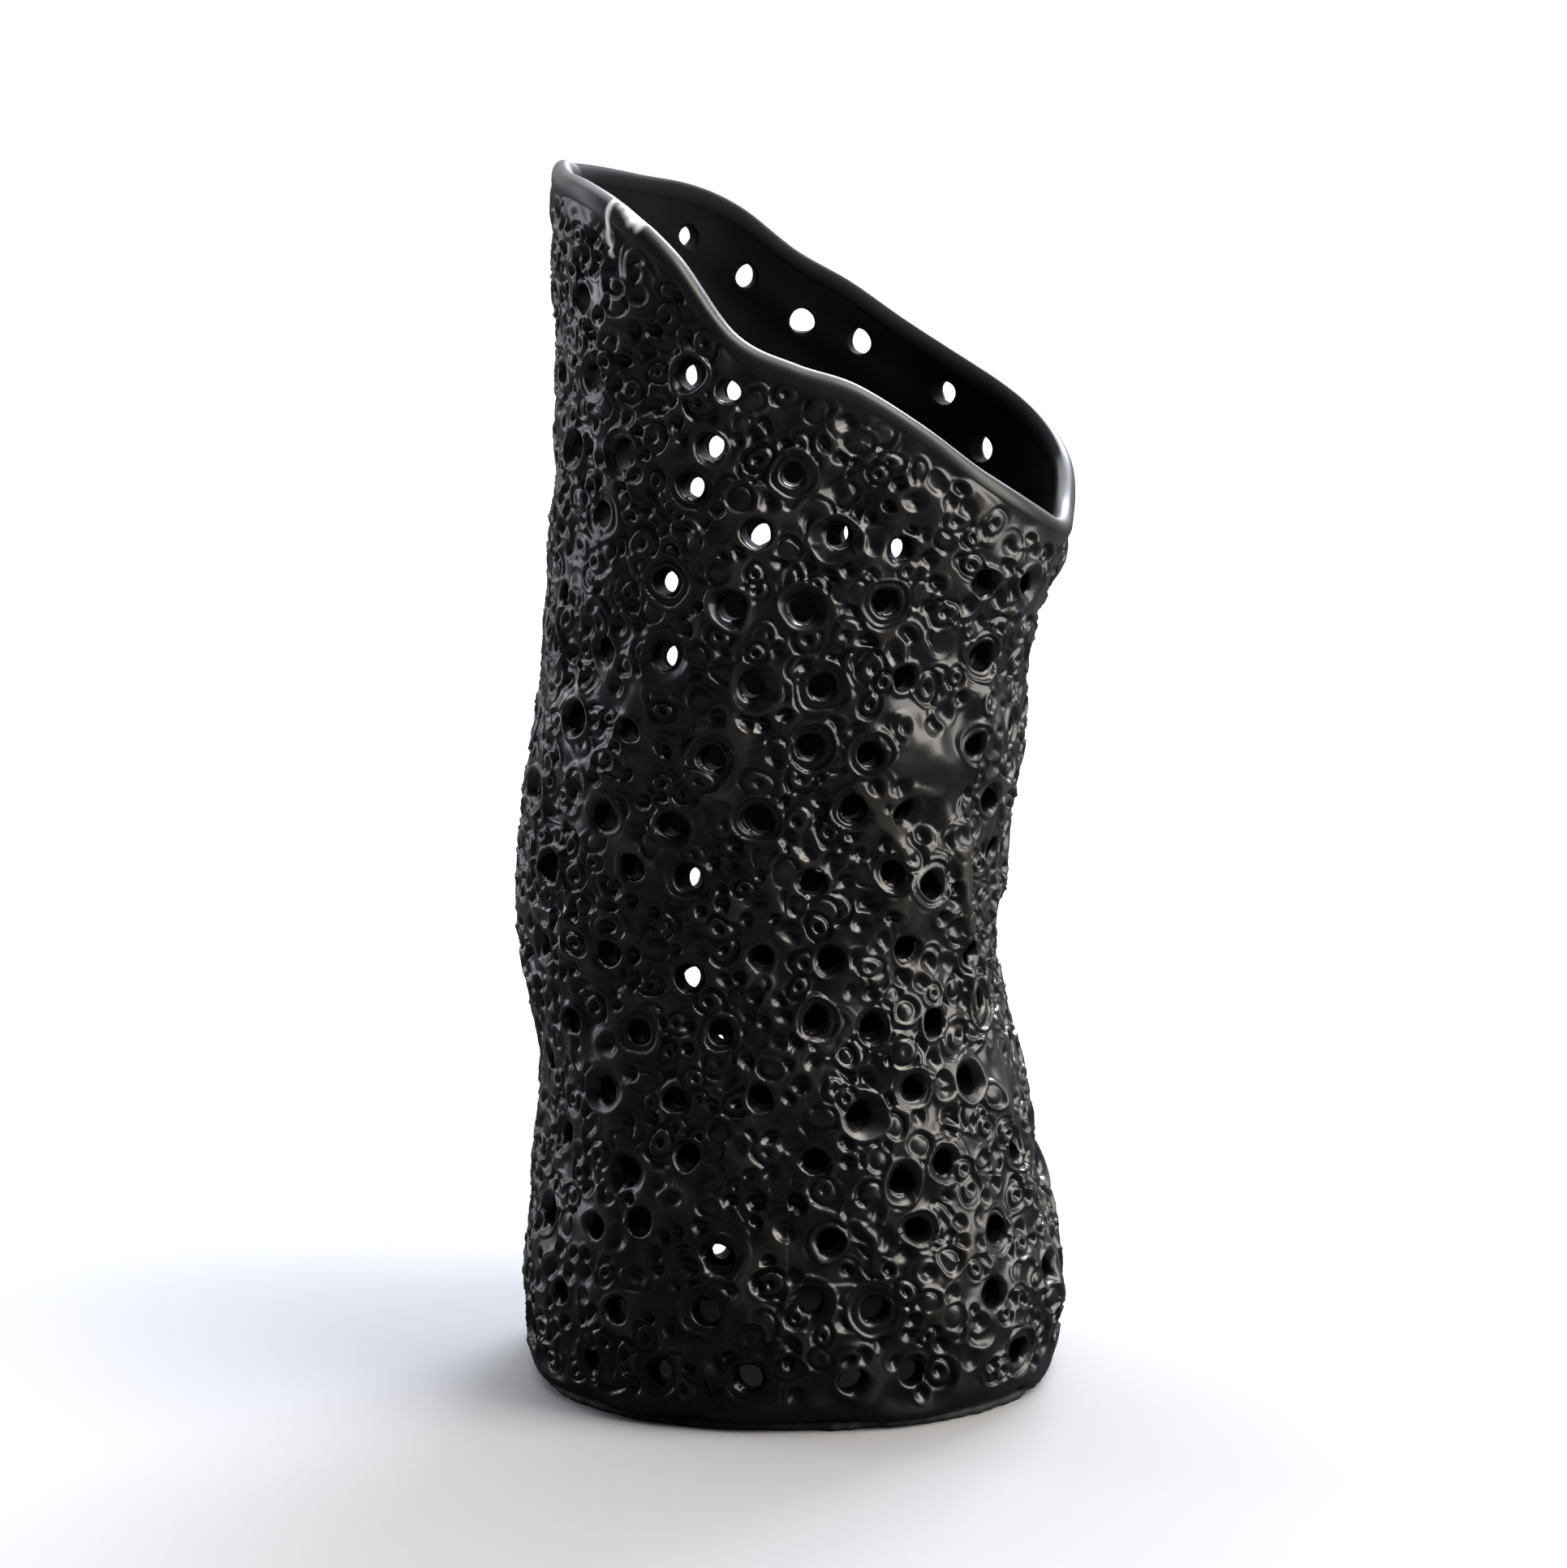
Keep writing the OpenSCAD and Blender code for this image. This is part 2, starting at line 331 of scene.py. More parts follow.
def press(relief, grid, a, h, reach, shape):
    """Press one stamp into the relief. shape(d, phi) gives its own height, and how far it
    levels what was there before. The clay's give bends every stamp a little."""
    angle, z, bend_x, bend_y = grid
    rows, cols = patch(a, h, reach)
    pick = np.ix_(rows, cols)
    x, y = turned(angle[pick], a) * float(body_r(a, h)), z[pick] - h
    d = np.hypot(x, y)
    nearest = np.unravel_index(d.argmin(), d.shape)
    give = np.clip(d / 3, 0, 1)
    x = x + give * (bend_x[pick] - bend_x[pick][nearest])
    y = y + give * (bend_y[pick] - bend_y[pick][nearest])
    d, phi = np.hypot(x, y), np.arctan2(y, x)
    old = relief[pick]
    at_centre = old[d < max(1.0, 0.4 * reach)]
    level = 0.6 * float(at_centre.mean()) if at_centre.size else 0.0
    own, levelled = shape(d, phi)
    relief[pick] = old + (level - old) * levelled + own


def fade(x, low, high):
    """1 below low, 0 above high, smooth between."""
    t = np.clip((x - low) / (high - low), 0, 1)
    return 1 - t * t * (3 - 2 * t)


def ring(d, r, width, height):
    """A round ridge, or a groove where height is negative."""
    return height * np.exp(-((d - r) / width) ** 2)


def oval(d, phi, squash, turn):
    """Distances from the middle of a stamp that was pressed at a slant."""
    return d * (1 + squash * np.cos(2 * (phi - turn)))


def one_sided(phi, turn):
    """1 on one side of a stamp, falling to 0.15 on the other."""
    return 0.575 + 0.425 * np.cos(phi - turn)


def pit(r, depth, lip, squash, turn):
    """The end of a rounded stick: a deep soft pit in a low collar."""
    def shape(d, phi):
        e = oval(d, phi, squash, turn)
        own = -depth * np.exp(-(e / r) ** 2.6) + ring(e, 1.55 * r, 0.7, lip * one_sided(phi, turn))
        return own, fade(e, r, 1.9 * r)
    return shape


def button(r, depth, lip, squash, turn):
    """A button end: a round groove, a fat ring inside it and a small pit in the middle."""
    def shape(d, phi):
        e = oval(d, phi, squash, turn)
        own = ring(e, r, 0.55, -0.55 * depth) + ring(e, 0.52 * r, 0.3 * r, lip)
        own = own - 0.8 * depth * np.exp(-(e / (0.34 * r)) ** 2)
        return own + ring(e, r + 1.0, 0.5, 0.6 * lip * one_sided(phi, turn)), fade(e, r, r + 1.2)
    return shape


def tube_mark(r, depth, lip, squash, turn):
    """The end of a tube: a round groove with the clay left standing inside it."""
    def shape(d, phi):
        e = oval(d, phi, squash, turn)
        own = ring(e, r, 0.55, -depth * one_sided(phi, turn)) + ring(e, r + 1.1, 0.55, lip)
        return own + 0.3 * np.exp(-(e / (0.6 * r)) ** 2), fade(e, r + 0.6, r + 1.6)
    return shape


def arc(r, height, turn):
    """Part of a thin ridge that a tube's edge pushed up."""
    def shape(d, phi):
        side = np.clip(0.25 + np.cos(phi - turn), 0, 1)
        return ring(d, r, 0.4, height * side), 0 * d
    return shape


def smudge(r):
    """A fingertip that half wipes out what lies under it."""
    def shape(d, phi):
        return 0 * d, 0.8 * fade(d, 0.45 * r, r)
    return shape


def hole_edge(d, phi, r, lip, turn):
    """The rounded, slightly raised edge of a punched hole."""
    collar = ring(d, r + 1.0, 0.7, lip * (0.4 + 0.6 * one_sided(phi, turn)))
    return collar - 1.1 * np.exp(-np.maximum(d - r, 0) / 0.35)


def plain_hole(r_hole, lip, turn):
    """A hole with only the collar that the punch pushed up."""
    def shape(d, phi):
        return hole_edge(d, phi, r_hole, lip, turn), fade(d, r_hole + 0.8, r_hole + 2.2)
    return shape


def ringed_hole(r_hole, r, depth, lip, rings, squash, turn):
    """A hole in a dished round field with thin raised rings about it."""
    def shape(d, phi):
        e = oval(d, phi, squash, turn) + 0.25 * np.cos(phi - turn)
        own = hole_edge(d, phi, r_hole, lip, turn) - depth * fade(e, 0.6 * (r + r_hole), r)
        for k in range(rings):
            strong = lip if k == 0 else 0.7 * lip * one_sided(phi, turn + k)
            own = own + ring(e, r + 1.25 * k, 0.48, strong)
        return own, fade(e, r + 0.4, r + 1.4)
    return shape


def bowled_hole(r_hole, r, depth, lip, squash, turn):
    """A wide bowl that runs down into a punched hole."""
    def shape(d, phi):
        e = oval(d, phi, squash, turn) + 0.35 * np.cos(phi - turn)
        share = np.clip((r - e) / (r - r_hole), 0, 1)
        own = -depth * share * share * (3 - 2 * share) + ring(e, r + 0.4, 0.55, lip)
        own = own - 0.9 * np.exp(-np.maximum(d - r_hole, 0) / 0.35)
        return own, fade(e, r + 0.4, r + 1.6)
    return shape


def along_path(angle, z, path):
    """Distance in mm over the wall from a path of (degrees, height) points."""
    best = np.full(angle.shape, 1e9)
    for (a0, h0), (a1, h1) in zip(path, path[1:]):
        x = turned(angle, math.radians(a0)) * PATH_R
        y = z - h0
        dx, dy = math.radians(a1 - a0) * PATH_R, h1 - h0
        t = np.clip((x * dx + y * dy) / (dx * dx + dy * dy), 0, 1)
        best = np.minimum(best, np.hypot(x - t * dx, y - t * dy))
    return best


def calm_share(a, h):
    """1 in the middle of a patch that a thumb has worked smooth, 0 outside them all."""
    share = 0.0
    for a0, h0, wide, high in SMOOTHED:
        x = turned(a, math.radians(a0)) * MARK_R / wide
        share = max(share, 1 - math.hypot(x, (h - h0) / high))
    return share


def hole_stamps(holes):
    """What is pressed round each punched hole, as (when, angle, height, reach, shape)."""
    jobs = []
    for a, h, r in holes:
        style, when = RNG.random(2)
        wide = r + RNG.uniform(1.4, 3.0)
        depth, lip = RNG.uniform(0.45, 0.9), RNG.uniform(0.25, 0.6)
        lean, turn = RNG.uniform(0, 0.07), RNG.uniform(0, TURN)
        rings = int(RNG.integers(1, 4))
        if style < RINGED_TO:
            shape = ringed_hole(r, wide, depth, lip, rings, lean, turn)
        elif style < BOWLED_TO:
            shape = bowled_hole(r, wide, depth + 0.4, lip, lean, turn)
        else:
            shape = plain_hole(r, lip, turn)
        jobs.append((0.5 + 0.5 * when, a, h, wide + 4, shape))
    return jobs


def cup_stamps(holes):
    """The small stamps between the holes, a loose brick pattern of them."""
    jobs = []
    count = int(TURN * PATTERN_R / CUP_PITCH)
    for row in range(int(HEIGHT / CUP_ROW)):
        for i in range(count):
            a = (i + 0.5 * (row % 2) + RNG.uniform(-0.4, 0.4)) / count * TURN
            h = WALL_FOOT + 7 + row * CUP_ROW + RNG.uniform(-0.4, 0.4) * CUP_PITCH
            chance, kind, when = RNG.random(3)
            size, deep, lip = RNG.uniform(1.25, 2.1), RNG.uniform(0.9, 1.6), RNG.uniform(0.2, 0.5)
            lean, turn = RNG.uniform(0, 0.15), RNG.uniform(0, TURN)
            below_top = float(slab_top(a)) - h
            if below_top < 3.2 or h < WALL_FOOT + 6 or (below_top < 6 and chance < 0.3):
                continue
            gap = min(math.hypot(turned(a, a0) * PATTERN_R, h - h0) - r for a0, h0, r in holes)
            if gap < 1.7 * size - 0.8 * chance or calm_share(a, h) > 0.2 + 0.5 * chance:
                continue
            if kind < PIT_TO:
                shape = pit(size, deep, lip, lean, turn)
            elif kind < BUTTON_TO:
                shape = button(1.75 * size, deep, lip, lean, turn)
            else:
                shape = tube_mark(1.4 * size, 0.6 * deep, lip, lean, turn)
            jobs.append((when, a, h, 2 * size + 2.5, shape))
            if chance < SMUDGED_TO:
                jobs.append((RNG.random(), a, h, 4.5, smudge(RNG.uniform(2.5, 4.5))))
            if chance > ARC_FROM:
                jobs.append((1.1, a, h, 3 * size + 2, arc(2.1 * size + 1.2 * when, 0.28, turn)))
    return jobs


def stamp_wall(angle, z, holes):
    """The wall's relief in mm at every grid point, pressed stamp by stamp."""
    relief = 0.7 * smooth_noise(angle, z, 21, 3) + 0.4 * smooth_noise(angle, z, 10, 4)
    grid = (angle, z, 0.45 * smooth_noise(angle, z, 11, 61), 0.45 * smooth_noise(angle, z, 11, 62))
    jobs = hole_stamps(holes) + cup_stamps(holes)
    jobs.sort(key=lambda job: job[0])
    for _, a, h, reach, shape in jobs:
        press(relief, grid, a, h, reach, shape)
    for path, height, width in RIDGES:
        relief += height * np.exp(-(along_path(angle, z, path) / width) ** 2)
    # A smooth band under the lip and along the foot
    top = slab_top(angle)
    soft = 0.2 * smooth_noise(angle, z, 20, 12)
    relief = relief * (1 - fade(top - z, 0.3, 3.2))
    foot = fade(z - WALL_FOOT, 1.0, 6.5)
    return np.clip(relief * (1 - foot) + 2.2 * soft * foot, DEEPEST, HIGHEST)


# ---------------------------------------------------------------- mesh builders


def make_piece(name, points, faces, material, body="root"):
    """A mesh object from points in mm and arrays of faces, each array with its own number of
    corners to a face."""
    loops = np.concatenate([f.ravel() for f in faces])
    sizes = np.concatenate([np.full(len(f), f.shape[1]) for f in faces])
    starts = np.concatenate([[0], np.cumsum(sizes)[:-1]])
    mesh = bpy.data.meshes.new(name)
    mesh.vertices.add(len(points))
    mesh.vertices.foreach_set("co", (np.asarray(points) * MM).astype(np.float32).ravel())
    mesh.loops.add(len(loops))
    mesh.loops.foreach_set("vertex_index", np.asarray(loops, np.int32))
    mesh.polygons.add(len(starts))
    mesh.polygons.foreach_set("loop_start", np.asarray(starts, np.int32))
    mesh.update(calc_edges=True)
    mesh.validate()
    mesh.shade_smooth()
    mesh.materials.append(material)
    obj = bpy.data.objects.new(name, mesh)
    bpy.context.scene.collection.objects.link(obj)
    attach(obj, body)
    return obj


def neighbours(cells, di, dj):
    """What the next cell holds on one side; there is nothing past the foot and the top."""
    beside = np.roll(cells, (-di, -dj), (0, 1))
    if di:
        beside[-1 if di > 0 else 0] = False
    return beside


def pierced_shell(front, back, gone):
    """Points and faces of a closed wall. front is a fine grid that runs round, back the same
    wall's other face with every second point, and gone the coarse cells that holes take."""
    rows, cols = front.shape[:2]
    crows, ccols = back.shape[:2]
    f_id = np.arange(rows * cols).reshape(rows, cols)
    b_id = rows * cols + np.arange(crows * ccols).reshape(crows, ccols)
    points = [front.reshape(-1, 3), back.reshape(-1, 3)]
    count = rows * cols + crows * ccols
    i, j = np.nonzero(~np.repeat(np.repeat(gone, 2, 0), 2, 1))
    j2 = (j + 1) % cols
    faces = [np.stack([f_id[i, j], f_id[i, j2], f_id[i + 1, j2], f_id[i + 1, j]], 1)]
    i, j = np.nonzero(~gone)
    j2 = (j + 1) % ccols
    faces.append(np.stack([b_id[i, j], b_id[i + 1, j], b_id[i + 1, j2], b_id[i, j2]], 1))
    # The edge of every hole, three fine points and two coarse ones at a time
    edges = []
    for di, dj, p, q in SIDES:
        i, j = np.nonzero(gone & ~neighbours(gone, di, dj))
        ip, jp = i + p[0], (j + p[1]) % ccols
        iq, jq = i + q[0], (j + q[1]) % ccols
        im, jm = ip + iq, (2 * j + p[1] + q[1]) % cols
        edges.append(np.stack([f_id[2 * ip, 2 * jp], f_id[im, jm], f_id[2 * iq, 2 * jq],
                               b_id[ip, jp], b_id[iq, jq]], 1))
    edges = np.concatenate(edges)
    rim_ids = np.unique(edges[:, :3])
    start = front.reshape(-1, 3)[rim_ids]
    # Where each fine edge point comes out at the back: coarse points, and means between them
    out = np.zeros_like(start)
    place = np.full(count, -1)
    place[rim_ids] = np.arange(len(rim_ids))
    all_pts = np.concatenate(points)
    out[place[edges[:, 0]]] = all_pts[edges[:, 3]]
    out[place[edges[:, 2]]] = all_pts[edges[:, 4]]
    out[place[edges[:, 1]]] = (all_pts[edges[:, 3]] + all_pts[edges[:, 4]]) / 2
    last = rim_ids
    for share in (0.12, 0.35, 0.72, 0.92):
        points.append(start + (out - start) * share)
        new = count + np.arange(len(rim_ids))
        count += len(rim_ids)
        lookup = np.full(count, -1)
        lookup[rim_ids] = new
        old = np.full(count, -1)
        old[rim_ids] = last
        for m in (0, 1):
            a, b = edges[:, m], edges[:, m + 1]
            faces.append(np.stack([old[a], old[b], lookup[b], lookup[a]], 1))
        last = new
    inmost = [lookup[edges[:, m]] for m in (0, 1, 2)]
    faces.append(np.stack([*inmost, edges[:, 4], edges[:, 3]], 1))
    # Close the wall along its top and its foot
    c = np.arange(ccols)
    c2 = (c + 1) % ccols
    f0, f1, f2 = 2 * c, 2 * c + 1, (2 * c + 2) % cols
    top, foot = f_id[-1], f_id[0]
    faces.append(np.stack([top[f0], top[f1], top[f2], b_id[-1, c2], b_id[-1, c]], 1))
    faces.append(np.stack([foot[f2], foot[f1], foot[f0], b_id[0, c], b_id[0, c2]], 1))
    return np.concatenate(points), faces


def swept_round(rows, capped=False):
    """Points and faces over rows of points that each run round the vase. The last row joins
    the first, or both are closed with a fan where the piece is capped."""
    grid = np.stack(rows)
    count, across = grid.shape[:2]
    ids = np.arange(count * across).reshape(count, across)
    after = np.roll(ids, -1, 1)
    points = grid.reshape(-1, 3)
    faces = [np.stack([ids[:-1], after[:-1], after[1:], ids[1:]], -1).reshape(-1, 4)]
    if not capped:
        faces.append(np.stack([ids[-1], after[-1], after[0], ids[0]], -1))
        return points, faces
    for row, first, second in ((0, after, ids), (count - 1, ids, after)):
        middle = np.full(across, len(points))
        points = np.concatenate([points, grid[row].mean(0)[None]])
        faces.append(np.stack([middle, first[row], second[row]], -1))
    return points, faces


def grid_normals(points):
    """Outward normals of a grid of points that runs round the vase. Where points crowd at
    the edge of a hole and give none, or one that leans too far, it points straight out."""
    across = np.roll(points, -1, 1) - np.roll(points, 1, 1)
    along = np.gradient(points, axis=0)
    n = np.cross(across, along)
    n = n / np.maximum(np.linalg.norm(n, axis=2, keepdims=True), 1e-9)
    straight = points * np.array((1.0, 1.0, 0.0))
    straight = straight / np.linalg.norm(straight, axis=2, keepdims=True)
    lean = (n * straight).sum(2, keepdims=True)
    return np.where(lean > 0.6, n, straight)


def used_only(points, faces):
    """Drops points that no face uses."""
    keep = np.unique(np.concatenate([f.ravel() for f in faces]))
    number = np.full(len(points), -1)
    number[keep] = np.arange(len(keep))
    return points[keep], [number[f] for f in faces], keep


def polar(angle, r, z):
    """Points at an angle, a distance from the axis and a height."""
    return np.stack(np.broadcast_arrays(r * np.cos(angle), r * np.sin(angle), z), -1)


def lumps(angle, z):
    """The wall's slow hand-made bulges, which die out at foot and lip."""
    top = slab_top(angle)
    share = np.clip(np.minimum(z - WALL_FOOT, top - z) / 18, 0, 1)
    out = 0.7 * smooth_noise(angle, z, 60, 21) + 0.65 * smooth_noise(angle, z, 32, 22)
    out = out + 0.5 * smooth_noise(angle, z, 17, 23)
    out = out + SEAM_RISE * np.exp(-(along_path(angle, z, SEAM) / SEAM_WIDTH) ** 2)
    for a0, h0, radius, height in BULGES:
        across = turned(angle, math.radians(a0)) * MARK_R
        out = out + height * np.exp(-(across ** 2 + (z - h0) ** 2) / radius ** 2)
    return share * out


def glaze_bead_and_painted_glint(angle, z):
    """How thick the glaze lies that ran over the lip, a blob and a run below it. The lip's mesh
    swells with it, and the same share sets where a pale painted highlight lies.
    """
    blob = np.exp(-(along_path(angle, z, BLOB) / 2.0) ** 2)
    run = np.exp(-(along_path(angle, z, RUN) / 0.7) ** 2)
    return np.clip((blob + run) * (1.2 + 0.5 * smooth_noise(angle, z, 3, 71)) - 0.3, 0, 1)


def add_values(piece, name, values):
    """Gives every point of a piece one value that its material can read."""
    store = piece.data.attributes.new(name, "FLOAT", "POINT")
    store.data.foreach_set("value", np.asarray(values, np.float32).ravel())


# ---------------------------------------------------------------- pieces


def build_wall(material):
    """The slab rolled up into a tube, with every stamp and hole in its mesh."""
    holes = hole_places()
    angle, z, gone = relaxed_grid(holes)
    relief = stamp_wall(angle, z, holes)
    # The lower edge isn't cut quite level, and is notched where the slab's ends lap
    notch = turned(angle, math.radians(NOTCH_AT)) * MARK_R / NOTCH_WIDTH
    lift = 0.5 * smooth_noise(angle, 0, 30, 32) + 0.25 + NOTCH_DEPTH * np.exp(-notch ** 2)
    z_cut = z + lift * fade(z - WALL_FOOT, 0, 7)
    base = polar(angle, body_r(angle, z) - tuck(z) + lumps(angle, z), z_cut)
    front = base + grid_normals(base) * relief[..., None]
    ca, cz = angle[::2, ::2], z[::2, ::2]
    dent = 0.25 * smooth_noise(ca, cz, 17, 31) * np.clip((slab_top(ca) - cz) / 12, 0, 1)
    back = polar(ca, body_r(ca, cz) - WALL_T + lumps(ca, cz) * 0.8 + dent, cz)
    points, faces = pierced_shell(front, back, gone)
    # Points off the outer face, the inside and the holes' inner walls, get the bare value, which
    # the glaze paints its darkest black as painted shade
    height = np.full(len(points), BARE, np.float32)
    height[: relief.size] = relief.ravel()
    # Where the pale painted highlight lies, on the run of glaze over the lip
    painted_glint = np.zeros(len(points), np.float32)
    painted_glint[: relief.size] = glaze_bead_and_painted_glint(angle, z).ravel()
    points, faces, keep = used_only(points, faces)
    wall = make_piece("wall", points, faces, material)
    add_values(wall, "crest", height[keep])
    add_values(wall, "painted_glint", painted_glint[keep])
    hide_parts("wall_slab")


def build_lip(material):
    """The round lip: one bead swept along the slab's top edge."""
    turn = np.arange(AROUND) * TURN / AROUND
    top = slab_top(turn)
    rows, pale, bare = [], [], []
    wave = 0.2 * smooth_noise(turn, 0, 40, 51)
    fat = 1 + 0.1 * smooth_noise(turn, 0, 40, 52)
    # Half a bead above a skirt that runs down over both faces of the slab, as (out, rise)
    outline = [(-1.0, -2.6), (-0.3, -1.6), (0.08, -0.7)]
    for t in np.linspace(0, math.pi, LIP_SECTIONS + 1):
        across = (WALL_T / 2 + 0.15) * math.cos(t)
        outline.append((across - WALL_T / 2, LIP_RISE * math.sin(t) ** 0.8))
    outline += [(-WALL_T - 0.08, -0.7), (-WALL_T + 0.3, -1.6), (-WALL_T + 1.0, -2.6)]
    for out, rise in outline:
        zz = top + rise * np.where(rise > 0, fat, 1) + wave * (rise > -1.5)
        rr = body_r(turn, np.minimum(zz, top)) + np.where(out > -WALL_T / 2, out * fat, out)
        rows.append(polar(turn, rr + 0.3 * glaze_bead_and_painted_glint(turn, zz), zz))
        # Where the pale painted highlight lies on the lip
        pale.append(glaze_bead_and_painted_glint(turn, zz))
        # The glaze stops on top of the lip at the back, so the lip's inner half is bare there
        bare.append(BARE * (out < -0.55 * WALL_T) * np.clip(6 * np.sin(turn) - 0.6, 0, 1))
    points, faces = swept_round(rows)
    lip = make_piece("lip", points, faces, material)
    add_values(lip, "painted_glint", np.stack(pale))
    add_values(lip, "crest", np.stack(bare))
    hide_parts("rim_coil")


def build_floor_slab(material):
    """The slab that the wall stands on. It was trimmed by hand, so its edge is ragged where
    it shows under the wall, and its top inside is not quite flat."""
    turn = np.arange(AROUND // 2) * 2 * TURN / AROUND
    edge = body_r(turn, WALL_FOOT) - tuck(WALL_FOOT) - SLAB_SET_IN
    edge = edge + 0.4 * smooth_noise(turn, 0, 11, 81) + 0.2 * smooth_noise(turn, 0, 4, 82)
    inner = body_r(turn, FLOOR_TOP) - WALL_T
    rows = []
    for inward, z in ((1.2, 0.0), (0.3, 0.12), (0.0, 0.7), (0.08, 1.5), (0.5, 2.1), (3.0, 2.5)):
        rows.append(polar(turn, edge - inward, z))
    rows.append(polar(turn, inner + 0.3, 2.8))
    rows.append(polar(turn, inner + 0.2, FLOOR_TOP - 0.4))
    for share in (0.96, 0.85, 0.7, 0.55, 0.4, 0.25, 0.1):
        wave = 0.3 * (1 - share) * smooth_noise(turn, 300 * share, 60, 83)
        rows.append(polar(turn, inner * share, FLOOR_TOP + wave))
    points, faces = swept_round(rows, capped=True)
    slab = make_piece("floor", points, faces, material)
    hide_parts("floor_slab")


def build_corner_coil(material):
    """The coil that was pressed into the corner between wall and floor and smeared hollow
    with a finger, further in some places than in others."""
    turn = np.arange(AROUND // 2) * 2 * TURN / AROUND
    face = body_r(turn, CORNER_TOP) - WALL_T
    spread = 1 + 0.12 * smooth_noise(turn, 0, 17, 91)
    rows = []
    for inward, share in ((-0.5, -0.1), (-0.5, 1.0), (0.1, 0.98), (0.5, 0.75), (1.2, 0.5),
                          (2.2, 0.28), (3.4, 0.12), (4.6, 0.02), (4.8, -0.1)):
        z = FLOOR_TOP + (CORNER_TOP - FLOOR_TOP) * share
        rows.append(polar(turn, face - inward * spread, z))
    points, faces = swept_round(rows)
    coil = make_piece("corner_coil", points, faces, material)
    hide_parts("floor_joint_coil")


# ---------------------------------------------------------------- materials


def linear(hex_colour):
    """sRGB hex to linear RGBA."""
    parts = [int(hex_colour[k:k + 2], 16) / 255 for k in (1, 3, 5)]
    return [p / 12.92 if p <= 0.04045 else ((p + 0.055) / 1.055) ** 2.4 for p in parts] + [1.0]


def pattern_scale(size):
    """Scale of a noise whose features are about size mm across."""
    return 1 / (size * MM)


def add_node(tree, kind, values=None, links=None, stops=(), **settings):
    """Adds a node: its settings, its input values, the sockets that feed it and, where it is
    a colour ramp, its stops as (position, linear colour)."""
    node = tree.nodes.new(kind)
    for key, value in settings.items():
        setattr(node, key, value)
    for key, value in (values or {}).items():
        node.inputs[key].default_value = value
    for key, source in (links or {}).items():
        tree.links.new(source, node.inputs[key])
    for _ in range(len(stops) - 2):  # a new ramp has two
        node.color_ramp.elements.new(0.5)
    for k, (place, colour) in enumerate(stops):
        node.color_ramp.elements[k].position = place
        node.color_ramp.elements[k].color = colour
    return node


def new_material(name):
    """A material, its nodes and its main shader."""
    mat = bpy.data.materials.new(name)
    mat.use_nodes = True
    tree = mat.node_tree
    return mat, tree, tree.nodes["Principled BSDF"]


def add_painted_glint(tree, shader, colour):
    """Mixes a pale painted highlight over a black glaze, on the run of glaze over the lip, where
    the piece's own values put it.
    """
    painted_glint = add_node(tree, "ShaderNodeAttribute", attribute_name="painted_glint")
    # Painted highlight: the pale colour laid on the run of glaze over the lip
    over = add_node(tree, "ShaderNodeMix", {"B": linear("#d6d6d4")},
                    {"Factor": painted_glint.outputs["Fac"], "A": colour}, data_type="RGBA")
    tree.links.new(over.outputs["Result"], shader.inputs["Base Color"])


def bare_is_dull(tree, shader, roughness):
    """Takes the gloss off where the piece's relief value says that there is no glaze."""
    crest = add_node(tree, "ShaderNodeAttribute", attribute_name="crest")
    gloss = add_node(tree, "ShaderNodeMapRange",
                     {"From Min": BARE, "From Max": BARE / 2, "To Min": 0.08, "To Max": 0.5},
                     {"Value": crest.outputs["Fac"]})
    tree.links.new(gloss.outputs["Result"], shader.inputs["Specular IOR Level"])
    matt = add_node(tree, "ShaderNodeMapRange",
                    {"From Min": BARE, "From Max": BARE / 2, "To Min": 0.7, "To Max": 0.0},
                    {"Value": crest.outputs["Fac"]})
    rough = add_node(tree, "ShaderNodeMath", links={0: matt.outputs["Result"], 1: roughness},
                     operation="MAXIMUM")
    tree.links.new(rough.outputs["Value"], shader.inputs["Roughness"])


def black_satin_glaze():
    """Black satin glaze over stamped clay. It is darkest in the cups and breaks to a thin warm
    grey on the ridges: partly the glaze pooling and thinning, partly painted shade in the cups and
    a painted highlight on the ridges. The inside face and the holes' inner walls take the same
    darkest black as painted shade. A pale painted highlight lies on the run of glaze over the lip.
    Its shine clouds over a few centimetres, and a fine orange-peel surface breaks up the
    highlights."""
    mat, tree, shader = new_material("black_satin_glaze")
    where = add_node(tree, "ShaderNodeTexCoord")
    crest = add_node(tree, "ShaderNodeAttribute", attribute_name="crest")
    level = add_node(tree, "ShaderNodeMapRange",
                     {"From Min": -1.2, "From Max": 0.9}, {"Value": crest.outputs["Fac"]})
    # Painted shade and highlight: the cups and the inside face get the darkest black and the
    # ridges a warm grey, partly the glaze pooling and breaking thin, partly standing in for how
    # the light falls on them
    colour = add_node(tree, "ShaderNodeValToRGB", links={"Fac": level.outputs["Result"]}, stops=[
        (0.0, linear("#060608")), (0.45, linear("#0a0a0f")),
        (0.72, linear("#0e0e12")), (1.0, linear("#211f1c"))])
    add_painted_glint(tree, shader, colour.outputs["Color"])
    cloud = add_node(tree, "ShaderNodeTexNoise", {"Scale": pattern_scale(25), "Detail": 6.0},
                     {"Vector": where.outputs["Object"]})
    rough = add_node(tree, "ShaderNodeMapRange",
                     {"From Min": 0.3, "From Max": 0.7, "To Min": 0.18, "To Max": 0.38},
                     {"Value": cloud.outputs["Fac"]})
    bare_is_dull(tree, shader, rough.outputs["Result"])
    peel = add_node(tree, "ShaderNodeTexNoise", {"Scale": pattern_scale(1.1), "Detail": 3.0},
                    {"Vector": where.outputs["Object"]})
    bump = add_node(tree, "ShaderNodeBump", {"Strength": 0.12, "Distance": 0.0003},
                    {"Height": peel.outputs["Fac"]})
    tree.links.new(bump.outputs["Normal"], shader.inputs["Normal"])
    shader.inputs["IOR"].default_value = 1.5
    return mat


